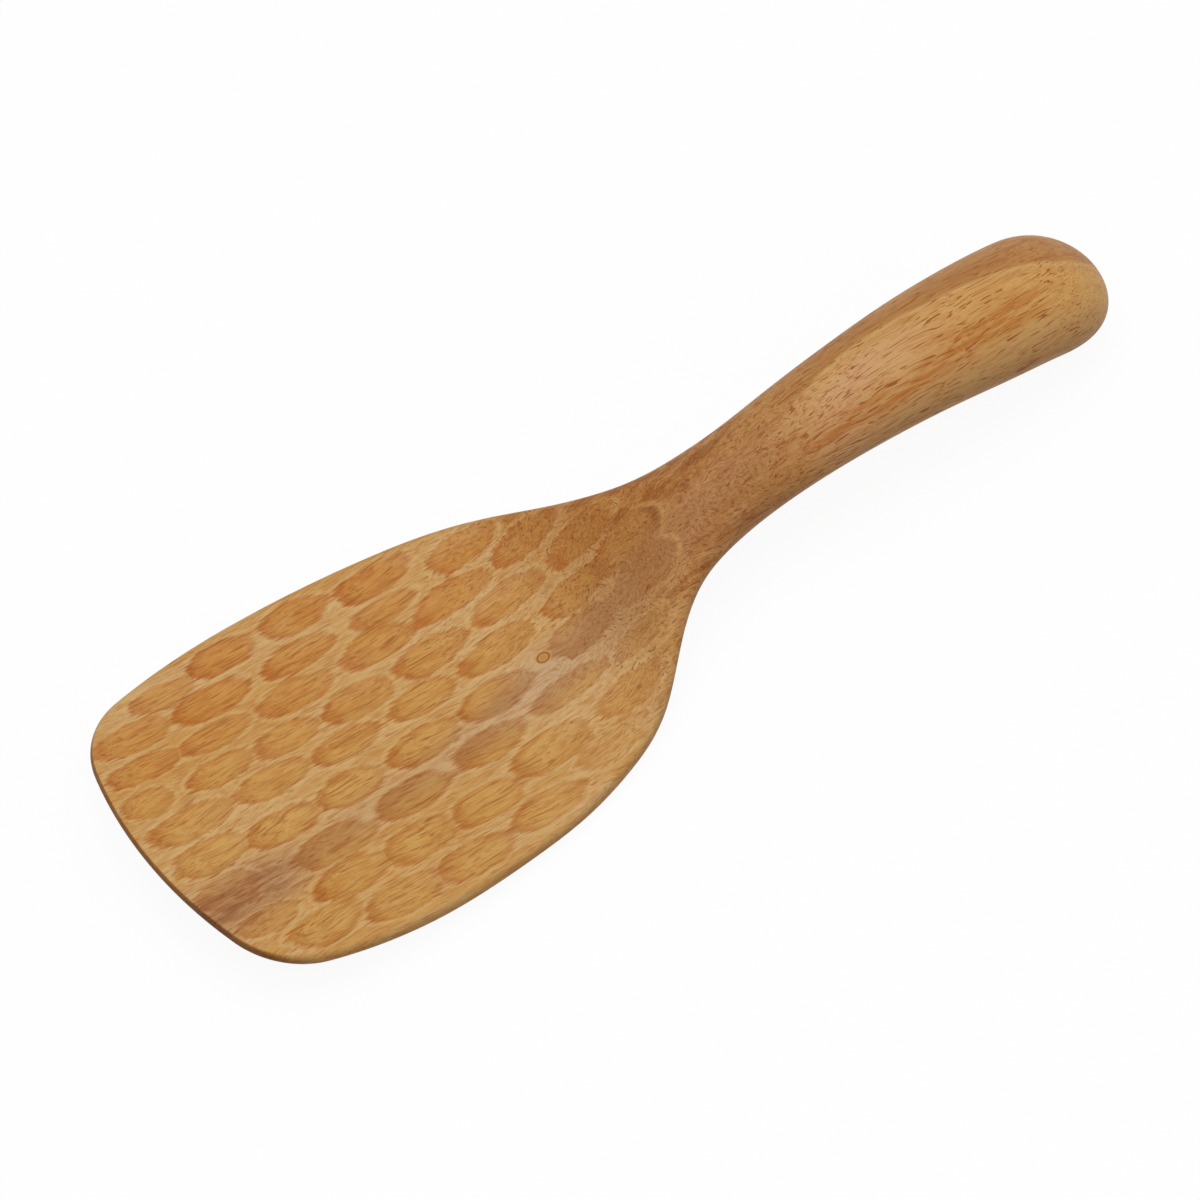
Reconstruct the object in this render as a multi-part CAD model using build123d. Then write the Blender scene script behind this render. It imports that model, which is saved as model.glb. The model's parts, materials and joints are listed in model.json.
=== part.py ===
from build123d import *
import math
import os

# A rice paddle carved from one board: a thin blade with a rounded square tip that curls up a little, a slim
# neck and an arched handle of oval section. The top of the blade is covered with rows of shallow scoops cut
# with a gouge, which keep rice from sticking. It is drawn with its heel level and the tip at X = 0, then laid
# down as it rests.

# Sizes in millimetres and angles in degrees

# Plan of the blade, which ends in a wide arc at the tip, with a short straight stretch at its widest place
overall_length = 220.0
blade_width = 73.2
widest_from_tip = 43.0
straight_length = 9.0
tip_radius = 78.8
tip_corner_radius = 17.0
side_radius = 116.5

# Thickness of the blade, full where it is widest and thinner at the tip, with a half-round rim, and how far
# the middle of the thickness has curled up at the tip
blade_thickness = 4.0
tip_thickness = 2.4
tip_curl = 4.5

# Neck and handle, which rise from the blade in an arch and droop again at the end
neck_from_tip = 132.0
neck_width = 19.2
neck_thickness = 17.0
grip_from_tip = 202.0
grip_width = 25.8
grip_thickness = 22.8
arch_rise = 22.6
end_rise = 14.7

# Scoops on top of the blade, in rows along the grain, with every other row half a pitch further on
scoop_length = 15.0
scoop_width = 6.6
scoop_depth = 0.5
scoop_pitch = 16.6
scoop_row_pitch = 7.6
scoop_margin = 1.2
first_scoop_from_tip = 10.0
last_scoop_from_tip = 98.0

# One overrun serves all cuts
overrun = 5.0

# Times that the paddle is tilted before it has settled on the table
settling_rounds = 3

# Places of the cross sections. Each row of a table gives a share of the way along, of the change in width,
# of the change in thickness and of the rise, and the share of the thickness that rounds the section's edge
half_round_share = 1.0
shoulder_shares = (
    (0.000, 0.000, 0.000, 0.000, half_round_share),
    (0.025, 0.000, 0.000, 0.000, half_round_share),
    (0.125, 0.030, 0.000, 0.000, 0.98),
    (0.250, 0.078, 0.023, 0.009, 0.96),
    (0.400, 0.185, 0.108, 0.062, 0.88),
    (0.550, 0.393, 0.277, 0.181, 0.76),
    (0.675, 0.700, 0.504, 0.430, 0.76),
    (0.775, 0.881, 0.700, 0.588, 0.84),
    (0.888, 0.970, 0.887, 0.696, 0.90),
    (1.000, 1.000, 1.000, 0.788, 0.92),
)
handle_shares = (
    (0.186, 0.121, 0.103, 0.907, 0.92),
    (0.400, 0.394, 0.379, 0.982, 0.92),
    (0.614, 0.697, 0.672, 1.000, 0.92),
    (0.829, 0.939, 0.914, 0.951, 0.92),
    (1.000, 1.000, 1.000, 0.885, 0.92),
)

# Places of the cross sections of the round end. Each row gives a share of the way from the end of the grip, of
# the grip's width and thickness, and of the droop
round_end_shares = (
    (0.454, 0.925, 0.374),
    (0.743, 0.727, 0.693),
    (0.906, 0.484, 0.886),
    (0.978, 0.255, 0.973),
)


def between(start, finish, share):
    return start + (finish - start) * share


def blade_plan(inset):
    """Outline of the blade from the tip to its widest place, drawn in by inset: one wide arc across the tip,
    one along each side, tangent to the length at the widest place, and an arc at each corner."""
    side_offset = side_radius - blade_width / 2
    tip = Pos(tip_radius, 0) * Circle(tip_radius - inset)
    near_side = Pos(widest_from_tip, side_offset) * Circle(side_radius - inset)
    far_side = Pos(widest_from_tip, -side_offset) * Circle(side_radius - inset)
    strip = Pos(widest_from_tip / 2, 0) * Rectangle(widest_from_tip, blade_width)
    outline = tip & near_side & far_side & strip
    return fillet(outline.vertices().group_by(Axis.X)[0], tip_corner_radius - inset)


def curled(level, rise):
    """Cylinder across the blade that touches a level where the curl starts and is higher by rise at the tip."""
    radius = (widest_from_tip**2 + rise**2) / (2 * rise)
    middle = Pos(widest_from_tip, 0, level + radius)
    return middle * Rot(90, 0, 0) * Cylinder(radius, blade_width + overrun)


def make_blade():
    """Slab with a half-round rim from the tip to the widest place, between two curled cylinders that draw
    nearer to each other towards the tip, and the straight stretch behind it, which is flat underneath."""
    rim_radius = blade_thickness / 2
    thinning = rim_radius - tip_thickness / 2
    slab = extrude(blade_plan(rim_radius), blade_thickness + tip_curl + overrun)
    middle_skin = (slab & curled(rim_radius, tip_curl)).faces().sort_by(Axis.Z)[0]
    path = Wire([edge for edge in middle_skin.edges() if edge.geom_type != GeomType.LINE])
    rim = sweep(Plane(path @ 0, x_dir=(0, 1, 0), z_dir=path % 0) * Circle(rim_radius), path=path)
    underside = curled(0, tip_curl + thinning)
    top = curled(blade_thickness, tip_curl - thinning)
    section = cross_section(widest_from_tip, blade_width, blade_thickness, rim_radius, half_round_share)
    straight_stretch = extrude(section, straight_length, dir=(1, 0, 0))
    return (slab & underside) - top + ((rim & underside) - top) + straight_stretch


def cross_section(along, width, thickness, centre_height, edge_share):
    """Flattened oval across the length: two flank arcs meet two edge arcs without a corner. An edge share of
    one makes the edges half round and the flanks straight."""
    half_width = width / 2
    half_thickness = thickness / 2
    edge_radius = half_thickness * edge_share
    turn = 2 * math.atan2(half_width - edge_radius, half_thickness - edge_radius) - math.pi / 2
    joint_y = half_width - edge_radius + edge_radius * math.cos(turn)
    joint_z = edge_radius * math.sin(turn)
    right_top, left_top = (joint_y, joint_z), (-joint_y, joint_z)
    right_bottom, left_bottom = (joint_y, -joint_z), (-joint_y, -joint_z)
    if edge_share < 1:
        top = ThreePointArc(right_top, (0, half_thickness), left_top)
        bottom = ThreePointArc(left_bottom, (0, -half_thickness), right_bottom)
    else:
        top = Line(right_top, left_top)
        bottom = Line(left_bottom, right_bottom)
    left = ThreePointArc(left_top, (-half_width, 0), left_bottom)
    right = ThreePointArc(right_bottom, (half_width, 0), right_top)
    place = Plane((along, 0, centre_height), x_dir=(0, 1, 0), z_dir=(1, 0, 0))
    return place * make_face([top, left, bottom, right])


def make_neck_and_handle():
    """One smooth skin through the cross sections, from the straight stretch of the blade to the round end."""
    middle = blade_thickness / 2
    sections = []
    for along, narrowing, thickening, rise, edge_share in shoulder_shares:
        sections.append(cross_section(
            between(widest_from_tip + straight_length, neck_from_tip, along),
            between(blade_width, neck_width, narrowing),
            between(blade_thickness, neck_thickness, thickening),
            middle + arch_rise * rise,
            edge_share,
        ))
    for along, widening, thickening, rise, edge_share in handle_shares:
        sections.append(cross_section(
            between(neck_from_tip, grip_from_tip, along),
            between(neck_width, grip_width, widening),
            between(neck_thickness, grip_thickness, thickening),
            middle + arch_rise * rise,
            edge_share,
        ))
    grip_rise = arch_rise * rise
    for along, size, droop in round_end_shares:
        sections.append(cross_section(
            between(grip_from_tip, overall_length, along),
            grip_width * size,
            grip_thickness * size,
            middle + between(grip_rise, end_rise, droop),
            edge_share,
        ))
    sections.append(Vertex(overall_length, 0, middle + end_rise))
    return loft(sections)


def is_over(body, along, across):
    """Whether the body lies under a place of its plan."""
    return bool(body.find_intersection_points(Axis((along, across, overall_length), (0, 0, -1))))


def scoop_places(body):
    """Middles of the scoops in plan, row by row, kept where the whole scoop and its margin are on the blade."""
    reach_along = scoop_length / 2 + scoop_margin
    reach_across = scoop_width / 2 + scoop_margin
    rows = int(blade_width / 2 / scoop_row_pitch)
    per_row = int((last_scoop_from_tip - first_scoop_from_tip) / scoop_pitch) + 1
    for row in range(-rows, rows + 1):
        across = row * scoop_row_pitch
        for place in range(per_row):
            along = first_scoop_from_tip + (place + row % 2 / 2) * scoop_pitch
            ends = [(along - reach_along, across), (along + reach_along, across)]
            sides = [(along, across - reach_across), (along, across + reach_across)]
            if all(is_over(body, *corner) for corner in ends + sides):
                yield along, across


def cut_scoops(body):
    """Hollows the top at each place, square to the surface there, with an ellipsoid that stands half its own
    height in the air, so that it leaves an oval of the named length, width and depth."""
    half_height = 2 * scoop_depth
    oval_share = math.sqrt(1 - (1 - scoop_depth / half_height) ** 2)
    half_length = scoop_length / 2 / oval_share
    half_breadth = scoop_width / 2 / oval_share
    gouge = scale(Sphere(1), by=(half_length, half_breadth, half_height))
    hollows = []
    for along, across in scoop_places(body):
        line = Axis((along, across, overall_length), (0, 0, -1))
        point, normal = body.find_intersection_points(line)[0]
        middle = point + normal * (half_height - scoop_depth)
        hollows.append(Plane(middle, x_dir=(normal.Z, 0, -normal.X), z_dir=normal) * gouge)
    return body - hollows


def resting_pitch(body):
    """Angle at which the heel of the blade and the end of the handle both touch a table, found by tilting the
    body a little at a time until the lower side of both is at one height."""
    across_neck = Plane.YZ.offset(neck_from_tip)
    blade_half = split(body, bisect_by=across_neck, keep=Keep.BOTTOM)
    handle_half = split(body, bisect_by=across_neck, keep=Keep.TOP)
    heel_from_tip = between(widest_from_tip, neck_from_tip, 1 / 2)
    end_from_tip = between(grip_from_tip, overall_length, 1 / 2)
    pitch = 0
    for _ in range(settling_rounds):
        heel = (Rot(0, pitch, 0) * blade_half).bounding_box().min.Z
        end = (Rot(0, pitch, 0) * handle_half).bounding_box().min.Z
        pitch += math.degrees(math.atan2(end - heel, end_from_tip - heel_from_tip))
    return pitch


blank = make_blade() + make_neck_and_handle()
pitch = resting_pitch(blank)
laid_down = Rot(0, pitch, 0) * cut_scoops(blank)
box = laid_down.bounding_box()
to_origin = Pos(-box.center().X, 0, -box.min.Z)
paddle = to_origin * laid_down

os.makedirs("parts", exist_ok=True)
export_step(paddle, "parts/paddle.step")

flat_underside = to_origin * Rot(0, pitch, 0) * Pos(widest_from_tip + straight_length / 2, 0, 0)
print("pitch", pitch, "volume", paddle.volume, "solids", len(paddle.solids()), "faces", len(paddle.faces()))
print("middle of the flat underside", flat_underside.position)
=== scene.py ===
import json
import math
from types import SimpleNamespace

import bpy
import numpy as np
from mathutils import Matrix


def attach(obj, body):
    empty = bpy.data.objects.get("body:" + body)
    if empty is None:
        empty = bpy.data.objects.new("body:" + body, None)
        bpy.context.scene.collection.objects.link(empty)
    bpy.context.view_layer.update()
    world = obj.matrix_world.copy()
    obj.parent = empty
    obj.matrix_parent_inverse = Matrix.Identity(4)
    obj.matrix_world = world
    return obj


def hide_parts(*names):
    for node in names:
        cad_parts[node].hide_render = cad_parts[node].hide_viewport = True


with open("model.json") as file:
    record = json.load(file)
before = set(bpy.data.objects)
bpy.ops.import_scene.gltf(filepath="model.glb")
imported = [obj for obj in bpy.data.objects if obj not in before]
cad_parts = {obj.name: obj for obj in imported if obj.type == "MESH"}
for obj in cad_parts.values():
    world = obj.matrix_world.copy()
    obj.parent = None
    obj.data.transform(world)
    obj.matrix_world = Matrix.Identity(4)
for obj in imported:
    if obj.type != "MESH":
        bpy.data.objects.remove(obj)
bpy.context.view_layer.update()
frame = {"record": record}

# The blank. The paddle is one board of pale, oiled hardwood, sawn to a wide rounded tip, a slim neck and a
# swelling grip, then planed and sanded so that the thin blade curls up at the tip and the handle arches.
# Lengths are in millimetres along the board, from the tip of the blade, until they go into the mesh.
mm = 0.001
length = 220.0
tip_radius = 78.8
tip_corner_radius = 17.0
side_radius = 116.5
widest = 43.0
blade_half_width = 36.6
blade_half_thickness = 2.0
tip_half_thickness = 1.2
tip_curl = 4.5
curl_start = 48.0
level_until = 58.0
top_edge_share = 0.6
bottom_edge_share = 0.8
oval_from, oval_to = 78.0, 122.0
round_end = 202.7
round_end_power = 2.2
spoke_tip, spoke_end = 12.0, 8.0
spoke_blend = 60.0

# Half width, half thickness and height of the middle, at places along the shoulders, neck and grip
width_at = np.array([60, 72, 84, 96, 106, 114, 123, 132, 145, 160, 175, 190, 202], float)
half_widths = np.array([35.9, 34.5, 31.6, 26.0, 17.7, 12.8, 10.4, 9.6, 10.0, 10.9, 11.9, 12.7, 12.9])
thickness_at = np.array([58, 72, 84, 96, 108, 120, 132, 145, 160, 175, 190, 202], float)
half_thicknesses = np.array([2.0, 2.15, 2.7, 3.8, 5.6, 7.4, 8.5, 8.8, 9.6, 10.45, 11.15, 11.4])
height_at = np.array([58, 72, 84, 96, 108, 120, 132, 145, 160, 175, 190, 205, 220], float)
heights = np.array([0, 0.2, 1.4, 4.1, 10.8, 15.0, 17.8, 20.5, 22.2, 22.6, 21.5, 19.4, 14.7])


def ease(value, start, stop):
    """Three times the square less twice the cube of the share of the way from start to stop."""
    share = np.clip((value - start) / (stop - start), 0, 1)
    return share * share * (3 - 2 * share)


def fair_curve(places, values, at, end_slope=None):
    """Cubic spline through the values, level at its start. Its bends solve one row for each place: a sixth
    of each gap's bends balances the change of slope. The end is level too, or straight with no end slope."""
    gap = np.diff(places)
    slope = np.diff(values) / gap
    rows = np.diag(np.r_[2 * gap[0], 2 * (gap[:-1] + gap[1:]), 2 * gap[-1]])
    rows += np.diag(gap, 1) + np.diag(gap, -1)
    turn = 6 * np.r_[slope[0], np.diff(slope), (end_slope or 0) - slope[-1]]
    if end_slope is None:
        rows[-1] = 0
        rows[-1, -1] = 1
        turn[-1] = 0
    bend = np.linalg.solve(rows, turn)
    left = np.clip(np.searchsorted(places, at) - 1, 0, len(gap) - 1)
    after, before = at - places[left], places[left + 1] - at
    curved = (bend[left] * before**3 + bend[left + 1] * after**3) / (6 * gap[left])
    start = (values[left] / gap[left] - bend[left] * gap[left] / 6) * before
    stop = (values[left + 1] / gap[left] - bend[left + 1] * gap[left] / 6) * after
    return curved + start + stop


def end_rounding(along):
    """One until the round end, then the height of a superellipse that closes at the full length."""
    share = np.clip((along - round_end) / (length - round_end), 0, 1)
    return (1 - share**round_end_power) ** (1 / round_end_power)


def half_width(along):
    """A wide arc across the tip, a corner arc that touches it and the side arc from inside, the side arc to
    the widest place, and a fair curve from there through the shoulders, neck and grip."""
    side_centre = blade_half_width - side_radius
    reach_tip, reach_side = tip_radius - tip_corner_radius, side_radius - tip_corner_radius
    apart = math.hypot(widest - tip_radius, side_centre)
    foot = (reach_tip**2 - reach_side**2 + apart**2) / (2 * apart)
    rise = math.sqrt(reach_tip**2 - foot**2)
    unit_x, unit_y = (widest - tip_radius) / apart, side_centre / apart
    corner_x = tip_radius + foot * unit_x + rise * unit_y
    corner_y = foot * unit_y - rise * unit_x
    tip_joint = tip_radius + (corner_x - tip_radius) * tip_radius / reach_tip
    side_joint = widest + (corner_x - widest) * side_radius / reach_side
    tip_arc = np.sqrt(np.clip(tip_radius**2 - (tip_radius - along) ** 2, 0, None))
    corner_arc = corner_y + np.sqrt(np.clip(tip_corner_radius**2 - (along - corner_x) ** 2, 0, None))
    side_arc = side_centre + np.sqrt(np.clip(side_radius**2 - (along - widest) ** 2, 0, None))
    places = np.r_[widest, width_at, length]
    values = np.r_[blade_half_width, half_widths, half_widths[-1]]
    rest = fair_curve(places, values, np.maximum(along, widest), 0) * end_rounding(along)
    before = np.where(along < side_joint, corner_arc, side_arc)
    before = np.where(along < tip_joint, tip_arc, before)
    return np.where(along < widest, before, rest)


def half_thickness(along):
    """Even from the curl's start to the shoulders, thinner to the tip by the square of the distance, and a
    fair curve through the neck and grip, closed by the round end."""
    places = np.r_[thickness_at, length]
    values = np.r_[half_thicknesses, half_thicknesses[-1]]
    full = fair_curve(places, values, np.maximum(along, level_until), 0) * end_rounding(along)
    toward_tip = np.clip(1 - along / curl_start, 0, 1) ** 2
    return full - (blade_half_thickness - tip_half_thickness) * toward_tip


def middle_height(along):
    """Level blade that curls up by the square of the distance from the curl's start, then a fair curve up
    the neck, over the arch and down to the end."""
    rise = np.where(along < level_until, 0, fair_curve(height_at, heights, np.maximum(along, level_until)))
    curl = tip_curl * np.clip(1 - along / curl_start, 0, 1) ** 2
    return blade_half_thickness + rise + curl


def skin(along, across, side):
    """Height of the surface, over the middle for side 1 and under it for side -1. The section goes from a
    slab with quarter-ellipse edges to an oval, half of whose height is the root of one less the square of
    the share of the half width. The distance from the outline is the difference of the squares of half
    width and place, over twice the length of half its gradient."""
    width = half_width(along)
    step = 0.001
    before = np.maximum(along - step, 0)
    after = np.minimum(along + step, length)
    grows = (half_width(after) ** 2 - half_width(before) ** 2) / (2 * (after - before))
    inside = np.clip(width**2 - across**2, 0, None)
    from_outline = inside / (2 * np.hypot(grows, across) + step * step)
    thick = half_thickness(along)
    edge = np.maximum(thick * (top_edge_share if side > 0 else bottom_edge_share), step)
    slab = np.sqrt(1 - (1 - np.clip(from_outline / edge, 0, 1)) ** 2)
    oval = np.sqrt(inside) / np.maximum(width, step * step)
    round_share = ease(along, oval_from, oval_to)
    return middle_height(along) + side * thick * ((1 - round_share) * slab + round_share * oval)


# The scoops. Rows of shallow oval hollows are cut along the grain with a gouge all over the top of the
# blade, by eye, and sanded lightly, so their lengths and places differ and soft ridges are left between.
# Each row of the table gives a place along and across, a length, a width and a share of the full depth.
scoop_depth = 0.5
scoop_softness = 0.12
scoop_fade = 2.0
scoop_names = ("scoop", "scoop_end", "scoop_full")
scoops = np.array([
    (23.0, 29.5, 13.0, 5.0, 0.7), (37.3, 31.0, 14.0, 6.0, 1.0), (53.3, 30.8, 14.0, 6.6, 1.0),
    (69.8, 29.0, 15.5, 6.2, 1.0),
    (13.0, 24.5, 15.0, 6.0, 0.8), (30.0, 23.6, 16.0, 6.2, 1.0), (48.7, 23.3, 15.0, 6.0, 1.0),
    (67.5, 22.6, 13.0, 5.0, 0.8), (86.5, 24.2, 13.5, 6.5, 0.9),
    (10.8, 17.6, 15.0, 4.8, 0.9), (25.7, 17.0, 14.0, 5.0, 0.9), (43.5, 16.5, 15.0, 6.2, 1.0),
    (61.8, 16.7, 15.0, 6.8, 1.0), (78.7, 17.0, 16.5, 6.2, 1.0), (96.0, 17.4, 13.0, 6.0, 1.0),
    (7.0, 10.8, 10.0, 5.5, 0.7), (22.2, 10.0, 13.5, 5.3, 0.9), (36.3, 9.3, 13.0, 5.6, 1.0),
    (51.8, 8.8, 14.0, 6.5, 1.0), (68.5, 9.3, 15.0, 6.7, 1.0), (86.5, 10.0, 15.0, 6.0, 1.0),
    (102.7, 9.5, 13.5, 6.0, 1.0),
    (11.3, 3.2, 16.5, 6.4, 0.9), (28.6, 3.0, 15.0, 6.0, 1.0), (44.3, 2.2, 13.6, 5.8, 1.0),
    (61.5, 2.2, 14.0, 5.8, 1.0), (78.3, 2.5, 15.7, 6.2, 1.0), (95.5, 2.1, 12.0, 6.0, 1.0),
    (107.3, 1.4, 12.5, 7.4, 1.0),
    (10.0, -4.6, 15.0, 6.6, 0.9), (24.4, -6.1, 15.0, 6.2, 1.0), (39.3, -6.0, 13.5, 6.5, 1.0),
    (56.0, -5.9, 15.0, 6.3, 1.0), (72.6, -5.5, 16.0, 6.4, 1.0), (92.3, -5.0, 13.5, 7.0, 1.0),
    (106.0, -5.5, 12.0, 7.0, 0.9),
    (8.0, -12.5, 12.0, 7.0, 0.6), (29.8, -14.4, 16.5, 6.4, 1.0), (47.7, -13.8, 15.4, 6.5, 1.0),
    (65.6, -12.9, 15.0, 6.2, 1.0), (84.0, -12.5, 16.0, 5.0, 0.8), (99.0, -13.6, 11.0, 4.5, 0.5),
    (10.3, -21.4, 12.0, 5.0, 0.7), (28.3, -21.8, 15.5, 6.0, 1.0), (42.6, -22.4, 14.7, 6.8, 1.0),
    (57.5, -23.0, 14.5, 6.8, 1.0), (73.5, -20.5, 16.0, 7.0, 1.0), (91.5, -20.5, 14.0, 6.0, 0.6),
    (18.4, -27.7, 15.0, 6.5, 0.9), (33.2, -30.2, 15.5, 6.8, 1.0), (48.8, -31.0, 15.5, 6.4, 1.0),
    (65.5, -30.0, 15.0, 6.0, 0.8), (83.0, -26.5, 15.0, 6.0, 0.5),
])


def scoop_fields(along, across):
    """Depth of the hollows, how far inside one a place lies, from -1 far off over 0 at the rim to 1 in the
    middle, how near an end it lies, and how full the hollow's colour is. The depth is one less the squares of
    the shares of the half length and half width, with the rim eased by a root. Where two meet the deeper one
    holds."""
    depth, share = np.zeros_like(along), np.full_like(along, -1.0)
    end, full = np.zeros_like(along), np.ones_like(along)
    for place, off, long, wide, part in scoops:
        ahead, beside = (along - place) / (long / 2), (across - off) / (wide / 2)
        inside = 1 - ahead**2 - beside**2
        eased = (inside + np.sqrt(inside**2 + scoop_softness**2)) / 2
        nearest = inside > share
        end = np.where(nearest, ahead * np.abs(ahead), end)
        full = np.where(nearest, part, full)
        depth = np.maximum(depth, np.where(inside > -1, eased * part, 0))
        share = np.maximum(share, inside)
    return scoop_depth * depth, share, np.clip(end, -1, 1), full


# The skin of the paddle is a net of spokes. Each runs from the outline to the middle line, so that rows of
# points follow the outline all round and crowd where the edge turns.
outline_steps = 420
top_rows, bottom_rows, edge_rows = 80, 36, 8
measures_per_step = 40


def half_outline(steps):
    """Places along one side from the tip to the end of the handle, evenly spaced by the outline's length,
    and the place on the middle line that each one's spoke runs to."""
    fine = length * (1 - np.cos(np.linspace(0, np.pi, measures_per_step * steps))) / 2
    travelled = np.r_[0, np.cumsum(np.hypot(np.diff(fine), np.diff(half_width(fine))))]
    even = np.linspace(0, travelled[-1], steps + 1)
    along = np.interp(even, travelled, fine)
    along[0], along[-1] = 0, length
    near_tip = np.interp(spoke_blend, fine, travelled)
    near_end = np.interp(length - spoke_blend, fine, travelled)
    start = np.clip(even / near_tip, 0, 1)
    stop = np.clip((travelled[-1] - even) / (travelled[-1] - near_end), 0, 1)
    middle = along + (spoke_tip + (spoke_blend - spoke_tip) * start - along) * (1 - ease(start, 0, 1))
    drawn_in = length - spoke_end - (spoke_blend - spoke_end) * stop
    return along, middle + (drawn_in - along) * (1 - ease(stop, 0, 1)) * (stop < 1)


def spoke_shares(along, reach, rows):
    """Shares of the way down each spoke, from 0 at the outline to 1 at the middle. On the blade the first
    rows turn the edge evenly, as one less the cosine, and the rest are even. On the handle all do."""
    turn = np.linspace(0, np.pi / 2, edge_rows + 1)
    edge = blade_half_thickness * bottom_edge_share * (1 - np.cos(turn))
    flat = np.linspace(0, 1, rows - edge_rows + 1)[1:]
    first = edge / reach[:, None]
    rest = first[:, -1:] + (1 - first[:, -1:]) * flat
    slab = np.hstack([first, rest])
    oval = 1 - np.cos(np.linspace(0, np.pi / 2, rows + 1))
    round_share = ease(along, oval_from, oval_to)[:, None]
    return slab * (1 - round_share) + oval * round_share


def half_skin(side, rows):
    """One face of the board over the whole outline: both halves of each row, the second mirrored."""
    along, middle = half_outline(outline_steps)
    across = half_width(along)
    across[0] = across[-1] = 0
    share = spoke_shares(along, np.hypot(middle - along, across), rows).T
    x = along + (middle - along) * share
    y = across * (1 - share)
    x = np.hstack([x, x[:, -2:0:-1]])
    y = np.hstack([y, -y[:, -2:0:-1]])
    return x, y, skin(x, y, side)


def net_faces(number):
    """Four-sided faces between each row of numbered points and the next, closed round the row."""
    here, beyond = number[:-1], number[1:]
    return np.stack([here, np.roll(here, -1, 1), np.roll(beyond, -1, 1), beyond], -1).reshape(-1, 4)


def paddle_mesh():
    """Top and bottom share the outline's points. On the middle line each point serves both halves."""
    top_x, top_y, top_z = half_skin(1, top_rows)
    low_x, low_y, low_z = half_skin(-1, bottom_rows)
    depth, *fields = scoop_fields(top_x, top_y)
    top_z = top_z - depth * ease(half_width(top_x) - np.abs(top_y), 0, scoop_fade)
    around = top_x.shape[1]
    fold = np.minimum(np.arange(around), around - np.arange(around))
    top = np.arange(top_rows * around).reshape(top_rows, around)
    top = np.vstack([top, top.size + fold])
    bottom = top[-1].max() + 1 + np.arange((bottom_rows - 1) * around).reshape(bottom_rows - 1, around)
    bottom = np.vstack([top[:1], bottom, bottom.max() + 1 + fold])
    count = bottom.max() + 1
    points = np.zeros((count, 3))
    points[bottom] = np.stack([low_x, low_y, low_z], -1)
    points[top] = np.stack([top_x, top_y, top_z], -1)
    scoop_values = np.tile([[-1.0], [0], [0]], count)
    scoop_values[:, top] = fields
    faces = np.vstack([net_faces(top)[:, ::-1], net_faces(bottom)])
    return points, faces, scoop_values


mount_from_tip = 47.5


def lay_down(points):
    """Board lengths to the place where the paddle lies, read from the flat underside that the frame gives."""
    face = frame["record"]["mounts"][0]
    up = -np.array(face["axis"])
    along = np.array([up[2], 0, -up[0]])
    origin = np.array(face["pos_m"]) - mount_from_tip * mm * along
    turned = np.stack([along, [0, 1, 0], up])
    return origin + points * mm @ turned, origin, math.asin(up[0] / math.hypot(up[0], up[2]))


points, faces, scoop_values = paddle_mesh()
placed, board_origin, pitch = lay_down(points)
mesh = bpy.data.meshes.new("carved_paddle")
mesh.from_pydata(placed.tolist(), [], faces.tolist())
mesh.polygons.foreach_set("use_smooth", np.ones(len(faces), bool))
for name, values in zip(scoop_names, scoop_values):
    mesh.attributes.new(name, "FLOAT", "POINT").data.foreach_set("value", values.astype(np.float32))
mesh.update()
paddle = bpy.data.objects.new("carved_paddle", mesh)
bpy.context.scene.collection.objects.link(paddle)
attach(paddle, "root")
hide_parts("paddle")


# The wood. It is a pale amber tropical hardwood with coarse pores, seen as short dark dashes along the
# grain. It is rubbed with oil, which the cut ends of the fibres in the scoops drink up and turn amber.
# Each pair is a stretch over which the figure changes, in millimetres from the tip.
toward_tip = (34, 14)
toward_shoulder = (84, 108)
toward_neck = (103, 122)
toward_grip = (124, 150)
before_grip = (165, 130)
before_shoulder = (118, 100)
knot_along, knot_across, knot_half_length, knot_half_width = 84, -4.4, 1.2, 0.95


def srgb(red, green, blue):
    """The colour that a screen shows as these levels out of 255, as Blender's linear colour."""
    level = np.array([red, green, blue]) / 255
    linear = np.where(level < 0.04045, level / 12.92, ((level + 0.055) / 1.055) ** 2.4)
    return (*linear, 1)


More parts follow.
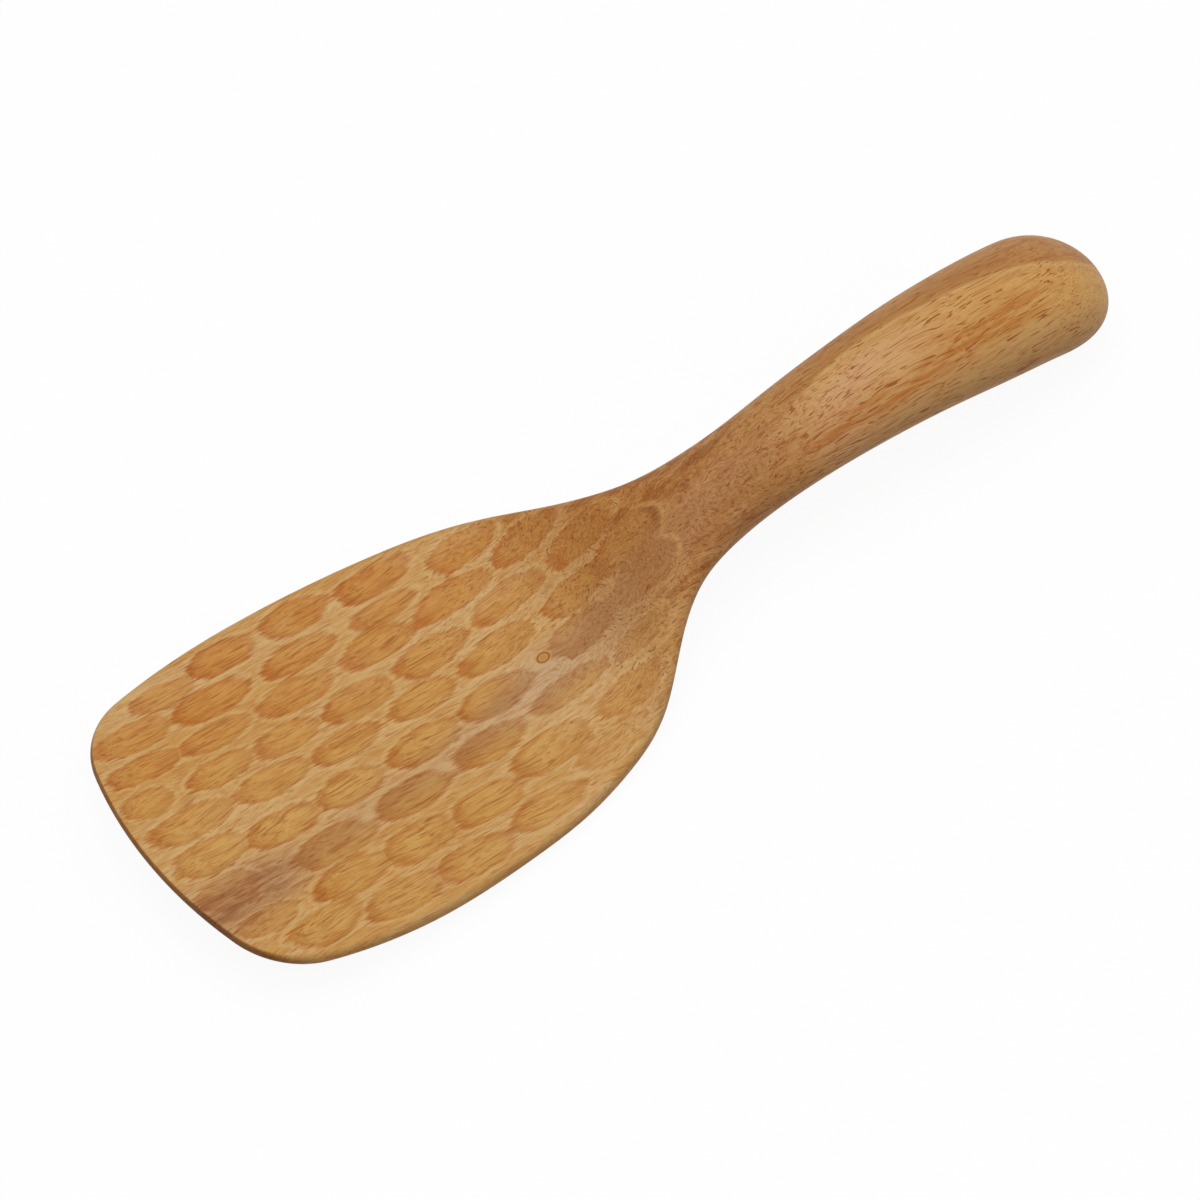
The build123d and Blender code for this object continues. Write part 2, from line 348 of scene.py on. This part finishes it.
class Value:
    """An output of a node. Arithmetic on it adds Math nodes, and any other node comes from node()."""

    def __init__(self, tree, socket=None):
        self.tree, self.socket = tree, socket

    def node(self, kind, settings=None, inputs=None, output=0):
        """Adds a node of a type, makes its settings, sets or links its inputs and returns one output."""
        made = self.tree.nodes.new("ShaderNode" + kind)
        for name, setting in (settings or {}).items():
            setattr(made, name, setting)
        for name, given in (inputs or {}).items():
            if isinstance(given, Value):
                self.tree.links.new(given.socket, made.inputs[name])
            else:
                made.inputs[name].default_value = given
        return Value(self.tree, made.outputs[output])

    def math(self, operation, *values):
        return self.node("Math", {"operation": operation}, dict(enumerate(values)))

    def __add__(self, other):
        return self.math("ADD", self, other)

    def __sub__(self, other):
        return self.math("SUBTRACT", self, other)

    def __rsub__(self, other):
        return self.math("SUBTRACT", other, self)

    def __mul__(self, other):
        return self.math("MULTIPLY", self, other)

    def __truediv__(self, other):
        return self.math("DIVIDE", self, other)

    __radd__, __rmul__ = __add__, __mul__

    def __abs__(self):
        return self.math("ABSOLUTE", self)

    def at_least(self, other):
        return self.math("MAXIMUM", self, other)

    def at_most(self, other):
        return self.math("MINIMUM", self, other)

    def step(self, start, stop, low=0.0, high=1.0):
        """Eased from low to high as the value goes from start to stop."""
        settings = {"interpolation_type": "SMOOTHSTEP"}
        return self.node("MapRange", settings, {0: self, 1: start, 2: stop, 3: low, 4: high})

    def bell(self, middle, half):
        """One at the middle, eased to zero at half to either side."""
        return abs(self - middle).step(0, half, 1, 0)

    def mix(self, first, second):
        """The first colour where this value is zero, the second where it is one, and a mix between."""
        return self.node("Mix", {"data_type": "RGBA"}, {0: self, 6: first, 7: second}, 2)

    def over(self, colour, share):
        """This colour with that share of the other colour over it."""
        return share.mix(self, colour)

    def times(self, colour, share=1.0):
        """This colour with that share of it multiplied by the other."""
        settings = {"data_type": "RGBA", "blend_type": "MULTIPLY"}
        return self.node("Mix", settings, {0: share, 6: self, 7: colour}, 2)

    def part(self, axis):
        """One of the three numbers of a place or a direction."""
        return self.node("SeparateXYZ", {}, {0: self}, axis)

    def painted(self, name):
        """A value that the mesh carries at its points."""
        return self.node("Attribute", {"attribute_name": name}, output=2)

    def pushed(self, push, amounts):
        """This place moved by so many millimetres each way of a noise's colour."""
        return self.node("VectorMath", {"operation": "MULTIPLY_ADD"}, {0: push, 1: amounts, 2: self})

    def noise(self, stretch, detail=2.0, roughness=0.5, twist=0.0, output=0):
        """Noise on this place, with as many lumps to a millimetre each way as stretch says."""
        place = self.node("VectorMath", {"operation": "MULTIPLY"}, {0: self, 1: stretch})
        lumps = {"Vector": place, "Scale": 1.0}
        finer = {"Detail": detail, "Roughness": roughness, "Distortion": twist}
        return self.node("TexNoise", {}, lumps | finer, output)


def grain_of_board(start):
    """How far a point lies along, across and up the board, in millimetres from the underside at the tip, how
    its surface faces, and the noises that the figure is drawn with, all long along the grain. The swayed
    place lets the grain wander, and the curled one stirs it, as where it turns on end."""
    grain = SimpleNamespace()
    cos, sin = math.cos(pitch), math.sin(pitch)
    turned_back = np.array([[cos, 0, -sin], [0, 1, 0], [sin, 0, cos]])
    shift = -(turned_back @ board_origin) / mm
    seen_place = {"Vector": start.node("TexCoord", output="Object"), "Scale": (1 / mm,) * 3}
    board = start.node("Mapping", {}, seen_place | {"Rotation": (0, -pitch, 0), "Location": tuple(shift)})
    grain.along, grain.across, grain.height = (board.part(axis) for axis in range(3))

    normal = start.node("NewGeometry", output="Normal")
    grain.faces_up = normal.part(2)
    to_end = {0: normal, 1: (cos, 0, -sin)}
    grain.on_end = abs(normal.node("VectorMath", {"operation": "DOT_PRODUCT"}, to_end, "Value"))

    swayed = board.pushed(board.noise((0.016, 0.035, 0.035), 1.0, output=1), (0, 7, 7))
    swayed = swayed.pushed(board.noise((0.09, 0.25, 0.25), 1.0, output=1), (0, 1.8, 1.8))
    curled = board.pushed(board.noise((0.10, 0.20, 0.20), 1.0, output=1), (6, 7, 7))
    grain.broad = swayed.noise((0.010, 0.16, 0.16), 2.0)
    grain.bands = swayed.noise((0.035, 0.45, 0.45), 2.0, 0.6)
    grain.flow = swayed.noise((0.03, 0.42, 0.42), 2.0, 0.6)
    grain.streaks = swayed.noise((0.05, 0.9, 0.9), 2.0, 0.6)
    grain.blots = swayed.noise((0.12, 0.36, 0.36), 2.0, 0.6)
    grain.fibres = swayed.noise((0.16, 2.4, 2.4), 2.0, 0.6)
    grain.lines = swayed.noise((0.10, 2.2, 2.2), 1.0)
    grain.pores = swayed.noise((0.22, 3.6, 3.6), 0.0)
    grain.patches = board.noise((0.05, 0.11, 0.11), 2.0)
    grain.crowding = board.noise((0.05, 0.2, 0.2), 1.0)
    grain.curls = curled.noise((0.7, 2.6, 2.6), 2.0, 0.5, 0.7)
    grain.specks = curled.noise((0.5, 3.2, 3.2), 0.0)
    return grain


def blade_figure(grain):
    """Pale and golden wood in broad bands, with narrower amber bands and streaks."""
    pale, golden = srgb(215, 175, 122), srgb(208, 160, 94)
    amber, deep_amber = srgb(202, 147, 74), srgb(196, 132, 60)
    wood = grain.broad.step(0.38, 0.62).mix(pale, golden)
    wood = wood.over(amber, grain.bands.step(0.5, 0.66) * 0.5)
    return wood.over(deep_amber, grain.streaks.step(0.53, 0.70) * 0.45)


def neck_figure(wood, grain):
    """Deeper amber over the shoulders, redder on the far side, then the neck with its dark and light flow."""
    far_amber, near_amber = srgb(190, 134, 70), srgb(196, 148, 94)
    neck_amber, neck_rose = srgb(184, 126, 64), srgb(184, 132, 80)
    dark_flow, light_flow = srgb(214, 182, 146), srgb(212, 166, 112)
    shoulder, neck = grain.along.step(84, 112), grain.along.step(*toward_neck)
    near_side = grain.across.step(6, -10)
    wood = wood.over(far_amber, shoulder * near_side.step(1, 0) * 0.9)
    wood = wood.over(near_amber, shoulder * near_side * 0.8)
    wood = wood.over(neck_amber, neck)
    wood = wood.over(neck_rose, neck * grain.patches.step(0.38, 0.66) * 0.8)
    flowing = grain.along.step(84, 106) * grain.along.step(*before_grip)
    wood = wood.times(dark_flow, grain.flow.step(0.48, 0.66) * flowing * 0.85)
    return wood.over(light_flow, grain.flow.step(0.46, 0.32) * flowing * 0.6)


def grip_figure(wood, grain):
    """A growth ring leans across the grip and shows as a pale line where across less height comes to its
    place. Past it the wood is redder. The near side has a pink patch under the line, an amber stripe below
    that and, along the lower edge, a duller, greyer gold that is painted shade."""
    ring_place, lowest_at_neck, lowest_at_end = 31.2, 22, 32.3
    droop_start, droop_rate = 172, 0.09
    dip_middle, dip_half, dip_depth = 157, 22, 1.9
    grip_gold, grip_amber, pale_line = srgb(214, 168, 106), srgb(200, 144, 76), srgb(218, 176, 118)
    red_wood, dark_red = srgb(190, 138, 84), srgb(175, 115, 64)
    pink, stripe_amber, shaded_lower_gold = srgb(211, 165, 126), srgb(186, 116, 44), srgb(194, 152, 104)
    grip = grain.along.step(*toward_grip)
    level = grain.height.at_least(grain.along.step(120, 200, lowest_at_neck, lowest_at_end))
    droop = (grain.along - droop_start).at_least(0) * droop_rate
    dip = grain.along.bell(dip_middle, dip_half) * dip_depth
    past_ring = grain.across - level + ring_place + droop - dip + (grain.broad - 0.5) * 1.5
    wood = wood.over(grip_gold, grip)
    wood = wood.over(grip_amber, grip * grain.bands.step(0.48, 0.66) * 0.5)
    red_side = grip * past_ring.step(-3, 0.5) * past_ring.step(0, 11, 1, 0.7)
    wood = wood.over(red_wood, red_side)
    wood = wood.over(dark_red, red_side * grain.bands.step(0.48, 0.64) * 0.7)
    wood = wood.over(pale_line, past_ring.bell(-0.7, 1.2) * grip * 0.8)
    wood = wood.over(pink, grip * grain.along.bell(154, 38) * past_ring.bell(-6, 6.5) * 0.8)
    stripe = (grain.across + (grain.patches - 0.5) * 7).bell(-7.5, 4.5) * grain.along.step(212, 185)
    wood = wood.over(stripe_amber, grip * stripe * grain.streaks.step(0.40, 0.58, 0.25, 0.95))
    # Painted shade: the lower near edge of the handle is a duller, greyer gold.
    return wood.over(shaded_lower_gold, grip * grain.across.step(-8.5, -12.5) * 0.6)


def rose_share(grain):
    """How much of the rose-brown stripe a point has. It runs from the near side of the tip slightly askew to
    the neck, and is wide at the tip and over the shoulder."""
    place_at_tip, slant, wander, half = -15.4, 0.09, 6, 7.0
    widened = grain.along.step(30, 8, 1, 0.75) * grain.along.step(62, 80, 1, 0.72)
    lane = grain.across - place_at_tip - grain.along * slant + (grain.patches - 0.5) * wander
    strength = grain.along.bell(9, 20) * 0.4 + grain.along.step(55, 75) * 0.3 + 0.6
    return (lane * widened).bell(0, half) * grain.along.step(155, 125) * strength


def rose_stripe(wood, grain, rose):
    """The stripe, pinkish on the blade, browner on the neck and brown at the tip."""
    blade_rose, neck_rose, tip_rose = srgb(206, 172, 138), srgb(178, 126, 78), srgb(178, 126, 82)
    wood = wood.over(grain.along.step(*toward_shoulder).mix(blade_rose, neck_rose), rose)
    at_tip = grain.along.step(*toward_tip)
    return wood.over(tip_rose, rose * at_tip * grain.bands.step(0.36, 0.56, 0.5, 1))


def scoop_figure(wood, grain, rose):
    """Colours the scoops, by how far inside one a point lies and how near one of its ends, with a ragged
    border. Their rims and ends are darker, partly as painted shade of their walls and most at the far end
    of the last one, and the ridges beyond are paler, partly as a painted highlight. Returns how much of a
    scoop's colour a point has as well."""
    far_amber, near_amber = srgb(208, 148, 72), srgb(212, 164, 92)
    far_rim_shade, near_rim_shade = srgb(186, 106, 34), srgb(186, 118, 46)
    shoulder_amber, last_end_shade, rose_amber = srgb(172, 110, 48), srgb(138, 78, 30), srgb(164, 110, 66)
    tip_dark, pale_lit_ridge = srgb(140, 84, 48), srgb(222, 186, 134)
    last_ridge_highlight, last_arc_shade = srgb(206, 158, 100), srgb(146, 86, 38)
    along = grain.along
    inside, to_end, full = (wood.painted(name) for name in scoop_names)
    ragged = inside + (grain.streaks - 0.5) * 1.1 + (grain.lines - 0.5) * 0.6
    ragged = ragged + (grain.curls - 0.5) * 0.25 + (grain.blots - 0.5) * 0.9
    cut = ragged.step(-0.45, 0.08) * full * grain.patches.step(0.35, 0.6, 0.75, 1)
    cut = cut * to_end.step(0.2, 1, 1, 0.65) * (1 - rose * along.step(90, 104) * 0.5)

    last_scoop = along.step(96, 107) * grain.across.bell(1.4, 7)
    far_half = grain.across.step(-4, 26)
    # Darker rims round the scoops and at their ends: painted shade of the walls, with blotches of darker
    # amber.
    rim = ragged.step(0.4, -0.1) * 0.55 + to_end.step(-0.05, -0.7) * 0.5 + to_end.step(0.4, 0.9) * 0.2
    rim = (rim + grain.blots.step(0.45, 0.68) * 0.5).at_most(1)
    amber = far_half.mix(near_amber, far_amber).over(far_half.mix(near_rim_shade, far_rim_shade), rim)
    amber = amber.over(shoulder_amber, along.step(*toward_shoulder) * 0.7)
    # Painted shade: the deep far end of the last scoop is darker.
    amber = amber.over(last_end_shade, to_end.step(0.4, 0.95) * last_scoop * 0.85)
    amber = amber.over(rose_amber, rose * 0.85)
    wood = wood.over(amber, cut * 0.9)

    dark_streaks = grain.streaks.step(0.46, 0.6) * 0.6 + grain.lines.step(0.5, 0.66) * 0.4
    wood = wood.over(tip_dark, rose * along.step(*toward_tip) * dark_streaks)
    # The ridges just outside the scoops are paler, partly from sanding and partly as a painted highlight.
    ridge = ragged.bell(-0.5, 0.4) * along.step(112, 92) * (1 - rose * 0.8)
    wood = wood.over(pale_lit_ridge, ridge * 0.5)
    # Painted highlight: a pale line on the ridge just beyond the last scoop's far end.
    lit_beyond_end = inside.bell(-0.4, 0.4) * to_end.step(0.3, 0.9) * along.step(94, 106)
    wood = wood.over(last_ridge_highlight, lit_beyond_end * 0.6)
    # Painted shade: a darker arc just inside that far end.
    shaded_end_arc = inside.bell(0.1, 0.35) * to_end.step(0.3, 0.8) * last_scoop
    return wood.over(last_arc_shade, shaded_end_arc * (1 - rose) * 0.65), cut


def fine_figure(wood, grain, cut, crinkles, dashes):
    """Fibres and dark lines along the grain, crinkles on the neck, and pores that were cut open: long dashes,
    and round specks where the grain turns on end."""
    fibre_tint, line_brown = srgb(228, 190, 146), srgb(162, 92, 34)
    crinkle_tint, crinkle_light = srgb(190, 142, 96), srgb(216, 174, 128)
    pore_brown, speck_brown = srgb(154, 84, 34), srgb(128, 72, 34)
    along = grain.along
    wood = wood.times(fibre_tint, grain.fibres.step(0.48, 0.66) * 0.5)
    dark_lines = grain.lines.step(0.56, 0.70) * (cut * 0.75 + 0.25) * along.step(*before_shoulder)
    wood = wood.over(line_brown, dark_lines * 0.7)
    swirling = along.step(86, 104) * along.step(*before_grip) * 0.3 + 0.15
    wood = wood.times(crinkle_tint, crinkles * swirling)
    wood = wood.over(crinkle_light, grain.curls.step(0.46, 0.34) * swirling * 0.45)
    wood = wood.over(pore_brown, dashes * along.step(88, 116, 0.35, 0.85))
    specks = grain.specks.step(0.69, 0.75) * along.step(80, 100) * along.step(160, 135)
    return wood.over(speck_brown, specks * 0.75)


def shaded_edges(wood, grain):
    """The tip's end grain is dark with oil and darker still with painted shade for its rim, and the sides of
    the blade and handle are darkened with painted shade where they face sideways.
    """
    tip_oil_and_shade, blade_side_shade, grip_side_shade = srgb(172, 132, 44), srgb(204, 174, 104), srgb(214, 190, 120)
    # Painted shade with darker oiled end grain: the rim round the tip, which faces along the board.
    wood = wood.times(tip_oil_and_shade, grain.on_end.step(0.3, 0.8) * grain.along.step(70, 25) * 0.85)
    # Painted shade: the blade's sides that face sideways are darker.
    wood = wood.times(blade_side_shade, grain.faces_up.bell(-0.05, 0.6) * grain.along.step(*before_shoulder) * 0.6)
    # Painted shade on the handle's sides, darkest where they face a little downward.
    return wood.times(grip_side_shade, grain.faces_up.bell(-0.2, 0.6) * grain.along.step(110, 140) * 0.6)


def pin_knot(wood, grain):
    """A small oval knot on the blade, a pale ground with a brown ring round an amber middle."""
    ground, middle, ring = srgb(206, 160, 98), srgb(196, 138, 64), srgb(156, 92, 28)
    past = (grain.along - knot_along) / knot_half_length
    beside = (grain.across - knot_across) / knot_half_width
    away = past * past + beside * beside
    wood = wood.over(ground, away.step(2.4, 1.2) * 0.8)
    wood = wood.over(middle, away.step(0.5, 0.2))
    return wood.over(ring, away.bell(0.95, 0.7))


def oiled_wood():
    """The figure from the blade to the grip, then the marks over it, under one thin coat of oil."""
    material = bpy.data.materials.new("oiled_hardwood")
    material.use_nodes = True
    tree = material.node_tree
    shader = tree.nodes["Principled BSDF"]
    grain = grain_of_board(Value(tree))
    crinkles = grain.curls.step(0.52, 0.68)
    dashes = (grain.pores + (grain.crowding - 0.5) * 0.15).step(0.66, 0.71) * grain.on_end.step(0.5, 0.2)
    rose = rose_share(grain)
    wood = grip_figure(neck_figure(blade_figure(grain), grain), grain)
    wood, cut = scoop_figure(rose_stripe(wood, grain, rose), grain, rose)
    wood = fine_figure(wood, grain, cut, crinkles, dashes)
    wood = pin_knot(shaded_edges(wood, grain), grain)
    oil_tint = srgb(246, 242, 227)
    wood = wood.times(oil_tint)
    rough = grain.fibres.step(0.3, 0.7, 0.45, 0.58) + dashes * 0.1
    relief = grain.fibres * 0.25 + grain.streaks * 0.3 - dashes * 0.5 - crinkles * 0.2
    bump = relief.node("Bump", {}, {"Strength": 0.35, "Distance": 0.1 * mm, "Height": relief})
    shader.inputs["Specular IOR Level"].default_value = 0.2
    for name, value in (("Base Color", wood), ("Roughness", rough), ("Normal", bump)):
        tree.links.new(value.socket, shader.inputs[name])
    return material


mesh.materials.append(oiled_wood())

# The floor is a plain pale sheet under a white sky, a hair under the paddle. What the camera sees of it is
# white, but for the soft shadow of the paddle.
floor_half = 3.0
floor_drop = 0.05
floor_corners = floor_half * np.array([(-1, -1, 0), (1, -1, 0), (1, 1, 0), (-1, 1, 0)])
floor_mesh = bpy.data.meshes.new("floor")
floor_mesh.from_pydata(floor_corners.tolist(), [], [(0, 1, 2, 3)])
floor = bpy.data.objects.new("floor", floor_mesh)
floor.location.z = -floor_drop * mm
bpy.context.scene.collection.objects.link(floor)


def sees_background(start):
    """One for the camera's rays and for mirrored and refracted ones, which all see the white background."""
    kinds = ("Camera", "Glossy", "Transmission")
    camera_ray, glossy_ray, through_ray = (start.node("LightPath", output=f"Is {kind} Ray") for kind in kinds)
    return (camera_ray + glossy_ray + through_ray).at_most(1)


def white_floor():
    """White paper that also glows a little towards the camera, so that it matches the white behind."""
    paper_level, glow_level, glow_share = 0.4, 1.1, 0.85
    material = bpy.data.materials.new("white_paper")
    material.use_nodes = True
    tree = material.node_tree
    shader = tree.nodes["Principled BSDF"]
    shader.inputs["Base Color"].default_value = (paper_level, paper_level, paper_level, 1)
    shader.inputs["Roughness"].default_value = 0.9
    start = Value(tree)
    paper = Value(tree, shader.outputs[0])
    glow = start.node("Emission", {}, {"Color": (1, 1, 1, 1), "Strength": glow_level})
    share = sees_background(start) * glow_share
    both = start.node("MixShader", {}, {0: share, 1: paper, 2: glow})
    tree.links.new(both.socket, tree.nodes["Material Output"].inputs["Surface"])
    return material


floor_mesh.materials.append(white_floor())

# The light is a dim white sky, one large soft box overhead and a small one low on the near side.
sky_level = 0.35
world = bpy.data.worlds.new("white_sky")
world.use_nodes = True
bpy.context.scene.world = world
level = sees_background(Value(world.node_tree)).step(0, 1, sky_level, 1.0)
background = world.node_tree.nodes["Background"]
background.inputs["Color"].default_value = (1, 1, 1, 1)
world.node_tree.links.new(level.socket, background.inputs["Strength"])


def soft_box(name, place, wide, high, power):
    """A rectangular lamp at a place, turned to the middle of the floor."""
    data = bpy.data.lights.new(name, "AREA")
    data.shape = "RECTANGLE"
    data.size, data.size_y = wide, high
    data.energy = power
    lamp = bpy.data.objects.new(name, data)
    lamp.location = place
    lamp.rotation_mode = "QUATERNION"
    lamp.rotation_quaternion = (-lamp.location).to_track_quat("-Z", "Y")
    bpy.context.scene.collection.objects.link(lamp)


soft_box("overhead_box", place=(-0.05, 0.1, 1.3), wide=1.2, high=1.2, power=11.1)
soft_box("near_box", place=(0.45, -0.75, 0.35), wide=0.5, high=0.3, power=1.2)

# The camera stands over the tip's left, 0.9 m from the middle of the paddle, and looks a little past it.
camera_distance = 900.0
camera_turn = 0.6595
camera_rise = 0.9743
aim_left, aim_down = 7.1, 0.9
picture_width, pixels_per_mm = 1200, 5.368
camera_data = bpy.data.cameras.new("camera")
camera_data.lens = camera_data.sensor_width * pixels_per_mm * camera_distance / picture_width
camera = bpy.data.objects.new("camera", camera_data)
right = np.array([math.cos(camera_turn), -math.sin(camera_turn), 0])
back = np.array([
    -math.sin(camera_turn) * math.cos(camera_rise),
    -math.cos(camera_turn) * math.cos(camera_rise),
    math.sin(camera_rise),
])
above = np.cross(back, right)
middle = board_origin + length / 2 * mm * np.array([math.cos(pitch), 0, -math.sin(pitch)])
stand = middle + mm * (camera_distance * back - aim_left * right - aim_down * above)
camera.matrix_world = [[*right, 0], [*above, 0], [*back, 0], [*stand, 1]]
bpy.context.scene.collection.objects.link(camera)
bpy.context.scene.camera = camera
bpy.context.scene.view_settings.view_transform = "Standard"
